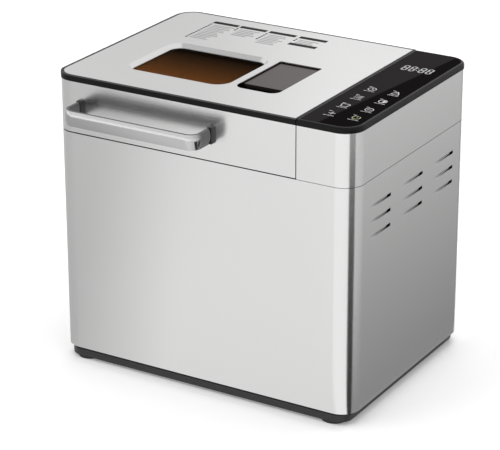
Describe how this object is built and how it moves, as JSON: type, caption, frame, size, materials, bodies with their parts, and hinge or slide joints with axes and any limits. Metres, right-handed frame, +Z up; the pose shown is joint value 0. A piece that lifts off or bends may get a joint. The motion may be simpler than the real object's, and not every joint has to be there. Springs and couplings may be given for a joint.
{
  "type": "bread machine",
  "caption": "Steel-bodied bread machine with a hinged windowed lid, fruit dispenser, touch console, oven chamber, lift-out pan and belt-driven kneading paddle.",
  "frame": {"origin": "bottom centre of the whole part, on the surface that it stands on", "axes": "+X to the console side, -Y to the front with the handle, +Z up"},
  "size_m": [0.347, 0.2944, 0.315],
  "materials": {
    "brushed_steel": "brushed",
    "plated_steel": "satin",
    "chrome": "satin",
    "black_plastic": "fine texture",
    "black_gloss": "gloss",
    "grey_plastic": "satin",
    "smoked_panel": "gloss",
    "touch_glass": "gloss",
    "tinted_glass": "gloss",
    "rubber": "matte",
    "silicone": "matte",
    "chamber_steel": "satin",
    "element_steel": "matte",
    "cast_alloy": "cast",
    "bronze": "machined",
    "pan_coating": "non-stick",
    "lamination": "laminated",
    "circuit_board": "satin",
    "display": "satin",
    "magnet": "painted"
  },
  "bodies": {
    "housing": {"base_tray": "black_plastic", "foot_pads": "rubber", "base_screws": "plated_steel", "body_wrap": "brushed_steel", "rear_panel": "black_plastic", "rear_panel_screws": "plated_steel", "cord_gland": "black_plastic", "top_deck": "black_plastic", "oven_chamber": "chamber_steel", "heating_element": "element_steel", "element_clips": "plated_steel", "temperature_probe": "plated_steel", "pan_seat": "cast_alloy", "bearing_housing": "cast_alloy", "shaft_bushes": "bronze", "chassis_plate": "plated_steel", "drive_belt": "rubber", "motor_stator": "lamination", "motor_end_bells": "cast_alloy", "motor_bolts": "plated_steel", "console_shell": "brushed_steel", "console_body": "black_plastic", "console_rim": "black_gloss", "touch_glass": "touch_glass", "touch_board": "circuit_board", "display_module": "display", "power_board": "circuit_board", "hinge_body_leaves": "plated_steel", "hinge_pins": "plated_steel"},
    "drive_train": {"large_pulley": "black_plastic", "drive_shaft": "plated_steel", "drive_dog": "cast_alloy", "wing_coupler": "cast_alloy", "pan_shaft": "plated_steel", "kneading_paddle": "pan_coating"},
    "motor_rotor": {"motor_shaft": "plated_steel", "motor_pulley": "black_plastic", "motor_fan": "black_plastic"},
    "pan": {"bread_pan": "pan_coating", "pan_base_ring": "cast_alloy", "pan_bearing": "bronze", "pan_ears": "plated_steel"},
    "bail": {"pan_bail": "plated_steel"},
    "lid": {"lid_apron": "brushed_steel", "lid_frame": "black_plastic", "lid_top_plate": "brushed_steel", "window_glass": "tinted_glass", "window_tunnel": "black_plastic", "inner_glass": "tinted_glass", "lid_liner": "chamber_steel", "lid_seal": "silicone", "lid_handle": "chrome", "handle_spacers": "black_plastic", "handle_screws": "plated_steel", "hinge_lid_leaves": "plated_steel", "dispenser_hopper": "grey_plastic", "dispenser_magnet": "magnet"},
    "cover": {"dispenser_cover": "smoked_panel"},
    "flap": {"dispenser_flap": "grey_plastic", "flap_spring": "plated_steel"}
  },
  "joints": [
    {"name": "lid_hinge", "type": "hinge", "parent": "housing", "child": "lid", "pos_m": [-0.03205, 0.1432, 0.254], "axis": [-1, 0, 0], "range_deg": [0, 95]},
    {"name": "cover_hinge", "type": "hinge", "parent": "lid", "child": "cover", "pos_m": [0.0325, 0.0293, 0.3114], "axis": [-1, 0, 0], "range_deg": [0, 95]},
    {"name": "flap_hinge", "type": "hinge", "parent": "lid", "child": "flap", "pos_m": [0.0572, -0.0052, 0.2707], "axis": [0, -1, 0], "range_deg": [0, 80], "stiffness_Nm_per_rad": 0.03, "springref_deg": -34.38},
    {"name": "pan_twist", "type": "hinge", "parent": "housing", "child": "pan", "pos_m": [-0.032, 0.0123, 0.08], "axis": [0, 0, 1], "range_deg": [0, 15]},
    {"name": "bail_swing", "type": "hinge", "parent": "pan", "child": "bail", "pos_m": [-0.032, 0.0123, 0.2046], "axis": [1, 0, 0], "range_deg": [0, 180]},
    {"name": "drive_spin", "type": "hinge", "parent": "housing", "child": "drive_train", "pos_m": [-0.032, 0.0123, 0.0671], "axis": [0, 0, 1], "continuous": true},
    {"name": "motor_spin", "type": "hinge", "parent": "housing", "child": "motor_rotor", "pos_m": [0.13, 0.0123, 0.054], "axis": [0, 0, 1], "continuous": true}
  ],
  "couplings": [
    {"joint": "motor_spin", "follows": "drive_spin", "ratio": 6}
  ]
}
